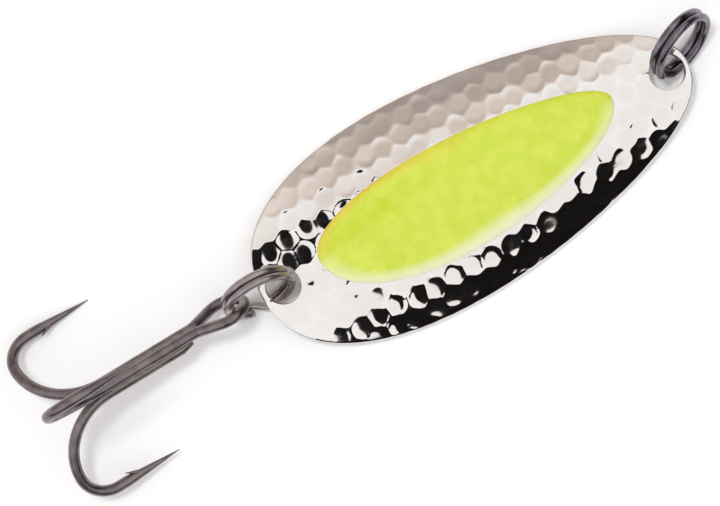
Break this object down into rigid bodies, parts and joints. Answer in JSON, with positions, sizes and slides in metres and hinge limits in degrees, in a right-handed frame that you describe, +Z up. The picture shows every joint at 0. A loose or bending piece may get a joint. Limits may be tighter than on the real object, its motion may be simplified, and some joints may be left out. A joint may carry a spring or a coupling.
{
  "type": "spoon lure",
  "caption": "Casting spoon fishing lure: hammered oval blade with a bright plastic insert, a split ring for the line and a split ring carrying a brazed barbed treble hook.",
  "frame": {"origin": "on the table under the middle of the whole lure's box", "axes": "+X along the blade to the nose and the line ring, +Y to the left of the nose, +Z up out of the crowned face"},
  "size_m": [0.1058, 0.03, 0.0238],
  "materials": {
    "plated_blade": "bright nickel plate, hammered",
    "insert_plastic": "moulded, satin gloss",
    "ring_wire": "black nickel, drawn wire",
    "hook_wire": "bronzed black nickel, drawn wire",
    "braze_metal": "brazing alloy under the same dark plate"
  },
  "bodies": {
    "blade": {"blade": "plated_blade", "insert": "insert_plastic"},
    "line_ring": {"line_ring": "ring_wire"},
    "hook_ring": {"hook_ring": "ring_wire"},
    "treble": {"double_hook": "hook_wire", "single_hook": "hook_wire", "braze": "braze_metal"}
  },
  "joints": [
    {"name": "line_ring_swing", "type": "hinge", "parent": "blade", "child": "line_ring", "pos_m": [0.04422, 0, 0.0032], "axis": [0.3422, -0.847, 0.4067], "range_deg": [-58, 1]},
    {"name": "hook_ring_swing", "type": "hinge", "parent": "blade", "child": "hook_ring", "pos_m": [-0.01403, 0, 0.00332], "axis": [0, -0.9205, 0.3907], "range_deg": [-3, 55]},
    {"name": "treble_swing", "type": "hinge", "parent": "hook_ring", "child": "treble", "pos_m": [-0.02297, 0.00087, 0.00537], "axis": [0, 0.3907, 0.9205], "range_deg": [-80, 80]}
  ]
}
